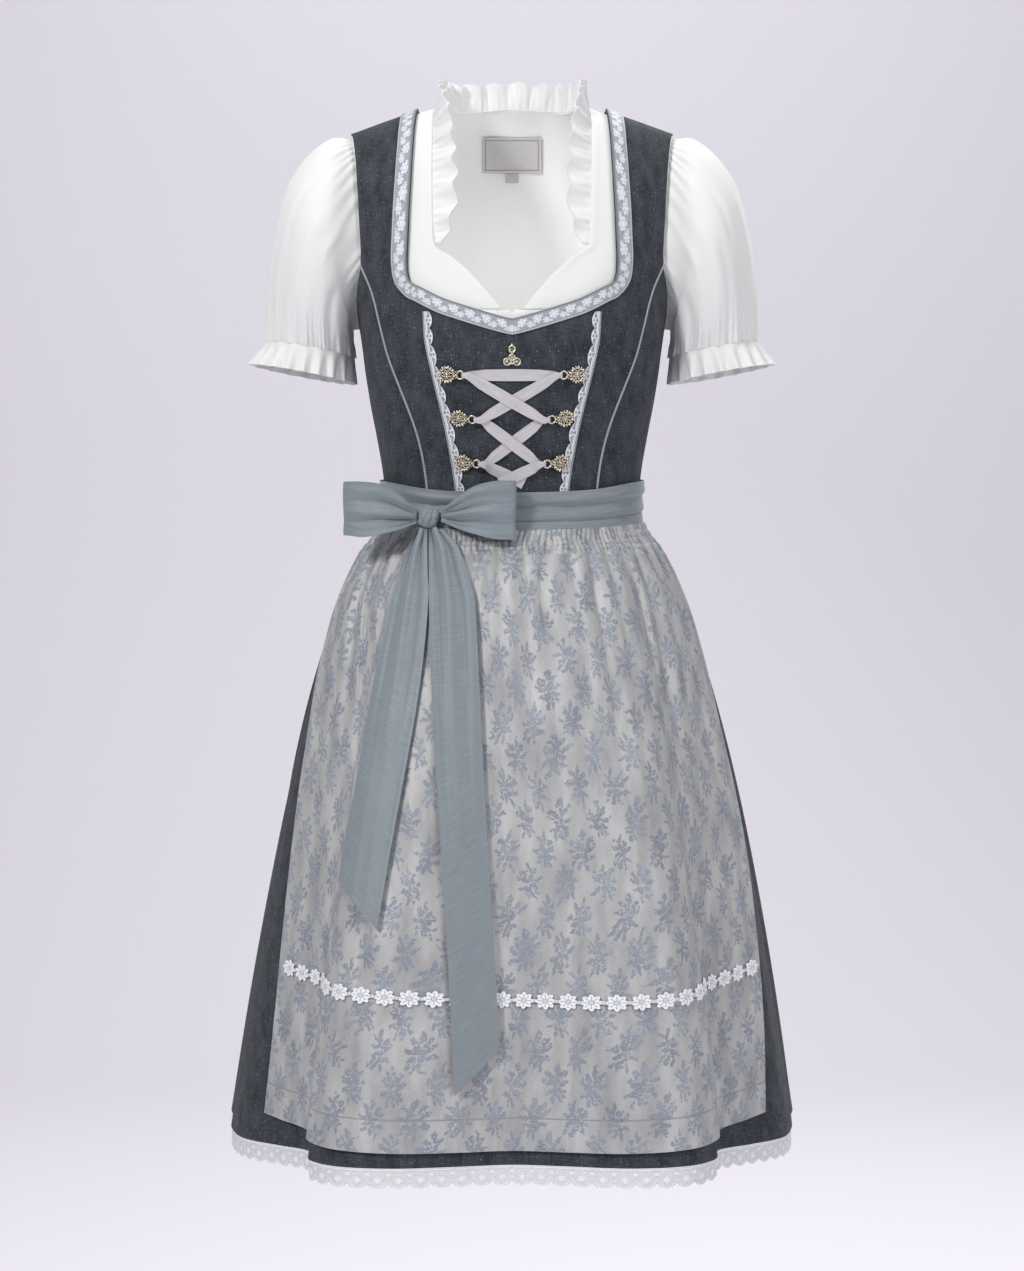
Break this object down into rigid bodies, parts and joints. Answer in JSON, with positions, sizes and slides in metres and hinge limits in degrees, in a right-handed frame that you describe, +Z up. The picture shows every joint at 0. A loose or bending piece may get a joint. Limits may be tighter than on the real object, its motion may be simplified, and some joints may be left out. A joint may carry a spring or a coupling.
{
  "type": "dirndl",
  "caption": "Knee-length laced dirndl dress over a puff-sleeved blouse, with a gathered apron, a waist sash tied in a bow and flower braid, worn out by an unseen figure.",
  "frame": {"origin": "midway between the tops of the two shoulder straps, on the wearer's centre plane; it is the mount shoulders", "axes": "+X to the viewer's right (the wearer's left), -Y to the front of the dress, +Z up"},
  "size_m": [0.5947, 0.5255, 1.1209],
  "materials": {
    "charcoal_linen": "matte slubbed linen-look weave, charcoal grey",
    "white_cotton": "soft matte white cotton batiste",
    "silver_jacquard": "satin jacquard, silver grey with blue-grey flower sprays",
    "blue_grey_taffeta": "blue-grey taffeta with a soft sheen",
    "grey_piping": "pale grey satin piping",
    "ribbon_trim": "grey ribbon with woven white flowers",
    "white_lace": "white cotton lace and embroidered flower braid",
    "satin_lacing": "pale lilac-grey satin ribbon",
    "label_cloth": "grey-beige woven label cloth, bare",
    "antique_silver": "antique silver-plated cast filigree, darkened in its hollows"
  },
  "bodies": {
    "root": {"bodice_centre_front_left": "charcoal_linen", "bodice_centre_front_right": "charcoal_linen", "bodice_strap_front_left": "charcoal_linen", "bodice_strap_front_right": "charcoal_linen", "bodice_side_front_left": "charcoal_linen", "bodice_side_front_right": "charcoal_linen", "bodice_side_back_left": "charcoal_linen", "bodice_side_back_right": "charcoal_linen", "bodice_back_left": "charcoal_linen", "bodice_back_right": "charcoal_linen", "skirt_front": "charcoal_linen", "skirt_back_left": "charcoal_linen", "skirt_back_right": "charcoal_linen", "piping_lace_seam_left": "grey_piping", "piping_lace_seam_right": "grey_piping", "piping_front_left": "grey_piping", "piping_front_right": "grey_piping", "piping_back_left": "grey_piping", "piping_back_right": "grey_piping", "lace_edging_left": "white_lace", "lace_edging_right": "white_lace", "neck_ribbon_front_left": "ribbon_trim", "neck_ribbon_front_right": "ribbon_trim", "neck_ribbon_back": "ribbon_trim", "blouse_front_left": "white_cotton", "blouse_front_right": "white_cotton", "blouse_back": "white_cotton", "blouse_sleeve_left": "white_cotton", "blouse_sleeve_right": "white_cotton", "sleeve_frill_left": "white_cotton", "sleeve_frill_right": "white_cotton", "neck_frill": "white_cotton", "neck_label": "label_cloth", "size_tab": "label_cloth", "hem_lace_front": "white_lace", "hem_lace_back_left": "white_lace", "hem_lace_back_right": "white_lace", "apron_panel": "silver_jacquard", "apron_header": "silver_jacquard", "flower_braid": "white_lace", "sash_front": "blue_grey_taffeta", "sash_back": "blue_grey_taffeta", "bow_knot": "blue_grey_taffeta", "bow_loop_left": "blue_grey_taffeta", "bow_loop_right": "blue_grey_taffeta", "sash_tail_left": "blue_grey_taffeta", "sash_tail_right": "blue_grey_taffeta", "lacing_hook_left_1": "antique_silver", "lacing_hook_left_2": "antique_silver", "lacing_hook_left_3": "antique_silver", "lacing_hook_right_1": "antique_silver", "lacing_hook_right_2": "antique_silver", "lacing_hook_right_3": "antique_silver", "zip_pendant": "antique_silver", "lacing_ribbon": "satin_lacing"}
  },
  "joints": []
}
